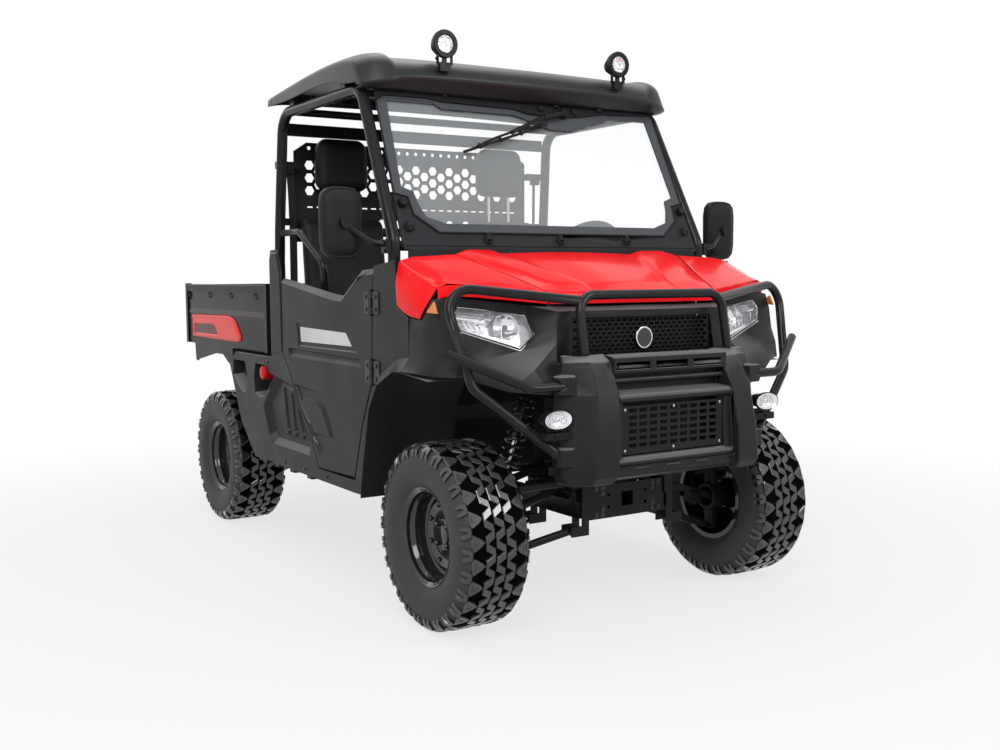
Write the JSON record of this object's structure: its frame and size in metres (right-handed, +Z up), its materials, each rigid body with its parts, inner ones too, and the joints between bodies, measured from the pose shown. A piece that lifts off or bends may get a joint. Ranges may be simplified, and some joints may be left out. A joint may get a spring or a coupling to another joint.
{
  "type": "side by side utv",
  "caption": "Utility side by side with a tubular cab, bench seating, half doors, a tipping load bed with tailgate, front guard bar and steered front wheels.",
  "frame": {"origin": "bottom centre of the bounding box, on the ground", "axes": "+Z up, -Y towards the front of the vehicle, +X towards the driver's left side"},
  "size_m": [1.9, 3.01, 2.086],
  "materials": {
    "tyre_rubber": "matte",
    "rim_black": "gloss",
    "frame_black": "satin",
    "tube_black": "satin",
    "body_red": "gloss",
    "panel_grey": "fine texture",
    "trim_black": "fine texture",
    "screen_clear": "polished",
    "lamp_clear": "polished",
    "lamp_chrome": "polished",
    "seat_vinyl": "satin",
    "engine_grey": "cast",
    "steel_dark": "satin",
    "spring_black": "gloss",
    "rod_chrome": "polished",
    "lens_red": "gloss",
    "wiper_rubber": "matte"
  },
  "bodies": {
    "root": {"frame": "frame_black", "floor_pan": "trim_black", "front_gearbox": "engine_grey", "engine_block": "engine_grey", "suspension_arms": "frame_black", "shocks": "spring_black", "rear_carriers": "steel_dark", "drive_shafts": "steel_dark", "cab_sides": "tube_black", "cab_crossbars": "tube_black", "roof": "trim_black", "roof_lamps": "trim_black", "windscreen_surround": "panel_grey", "windscreen_glass": "screen_clear", "wiper": "wiper_rubber", "cowl_panel": "panel_grey", "dashboard": "trim_black", "rear_screen": "frame_black", "seat_cushions": "seat_vinyl", "seat_backs": "seat_vinyl", "headrests": "seat_vinyl", "wings": "body_red", "fascia": "trim_black", "grille": "trim_black", "headlamps": "lamp_clear", "front_fenders": "panel_grey", "bumper": "trim_black", "guard_plate": "frame_black", "bull_bar": "tube_black", "fog_lamps": "lamp_chrome", "door_hinges": "frame_black", "side_panels": "panel_grey", "mirrors": "trim_black"},
    "hood": {"hood": "body_red"},
    "door_left": {"door_left": "panel_grey"},
    "door_right": {"door_right": "panel_grey"},
    "steering_rack": {"steering_rack": "steel_dark"},
    "steering_wheel": {"steering_wheel": "trim_black"},
    "knuckle_left": {"knuckle_left": "steel_dark"},
    "knuckle_right": {"knuckle_right": "steel_dark"},
    "bed": {"bed": "trim_black", "bed_reflectors": "lens_red"},
    "tailgate": {"tailgate": "trim_black"},
    "lift_barrel": {"lift_barrel": "steel_dark"},
    "lift_rod": {"lift_rod": "rod_chrome"},
    "wheel_front_left": {"tyre_front_left": "tyre_rubber", "rim_front_left": "rim_black"},
    "wheel_front_right": {"tyre_front_right": "tyre_rubber", "rim_front_right": "rim_black"},
    "wheel_rear_left": {"tyre_rear_left": "tyre_rubber", "rim_rear_left": "rim_black"},
    "wheel_rear_right": {"tyre_rear_right": "tyre_rubber", "rim_rear_right": "rim_black"}
  },
  "joints": [
    {"name": "steer_left", "type": "hinge", "parent": "root", "child": "knuckle_left", "pos_m": [0.545, -1.065, 0.317], "axis": [0, 0, 1], "range_deg": [-30, 30]},
    {"name": "steer_right", "type": "hinge", "parent": "root", "child": "knuckle_right", "pos_m": [-0.545, -1.065, 0.317], "axis": [0, 0, 1], "range_deg": [-30.5, 30.5]},
    {"name": "rack_slide", "type": "slide", "parent": "root", "child": "steering_rack", "axis": [1, 0, 0], "range_m": [-0.055, 0.055]},
    {"name": "steering_wheel_turn", "type": "hinge", "parent": "root", "child": "steering_wheel", "pos_m": [0.4, -0.414, 1.25], "axis": [0, 0.8202, 0.5721], "range_deg": [-361, 361]},
    {"name": "spin_front_left", "type": "hinge", "parent": "knuckle_left", "child": "wheel_front_left", "pos_m": [0.633, -1.065, 0.317], "axis": [1, 0, 0], "continuous": true},
    {"name": "spin_front_right", "type": "hinge", "parent": "knuckle_right", "child": "wheel_front_right", "pos_m": [-0.633, -1.065, 0.317], "axis": [1, 0, 0], "continuous": true},
    {"name": "spin_rear_left", "type": "hinge", "parent": "root", "child": "wheel_rear_left", "pos_m": [0.633, 1.015, 0.317], "axis": [1, 0, 0], "continuous": true},
    {"name": "spin_rear_right", "type": "hinge", "parent": "root", "child": "wheel_rear_right", "pos_m": [-0.633, 1.015, 0.317], "axis": [1, 0, 0], "continuous": true},
    {"name": "door_left_swing", "type": "hinge", "parent": "root", "child": "door_left", "pos_m": [0.766, -0.74, 0.95], "axis": [0, 0, -1], "range_deg": [0, 70]},
    {"name": "door_right_swing", "type": "hinge", "parent": "root", "child": "door_right", "pos_m": [-0.766, -0.74, 0.95], "axis": [0, 0, 1], "range_deg": [0, 70]},
    {"name": "hood_open", "type": "hinge", "parent": "root", "child": "hood", "pos_m": [0, -0.858, 1.25], "axis": [-1, 0, 0], "range_deg": [0, 55]},
    {"name": "bed_tilt", "type": "hinge", "parent": "root", "child": "bed", "pos_m": [0, 1.215, 0.8], "axis": [-1, 0, 0], "range_deg": [0, 38]},
    {"name": "tailgate_drop", "type": "hinge", "parent": "bed", "child": "tailgate", "pos_m": [0, 1.49, 0.862], "axis": [-1, 0, 0], "range_deg": [0, 90]},
    {"name": "lift_barrel_swing", "type": "hinge", "parent": "root", "child": "lift_barrel", "pos_m": [0.13, 0.9, 0.425], "axis": [-1, 0, 0], "range_deg": [0, 17]},
    {"name": "lift_rod_slide", "type": "slide", "parent": "lift_barrel", "child": "lift_rod", "axis": [0, -0.3498, 0.9368], "range_m": [0, 0.26]}
  ],
  "couplings": [
    {"joint": "steer_right", "follows": "steer_left", "ratio": 1},
    {"joint": "rack_slide", "follows": "steer_left", "m_per_rad": -0.1},
    {"joint": "steering_wheel_turn", "follows": "steer_left", "ratio": 12},
    {"joint": "lift_barrel_swing", "follows": "bed_tilt", "ratio": 0.4387},
    {"joint": "lift_rod_slide", "follows": "bed_tilt", "m_per_rad": 0.3863}
  ]
}
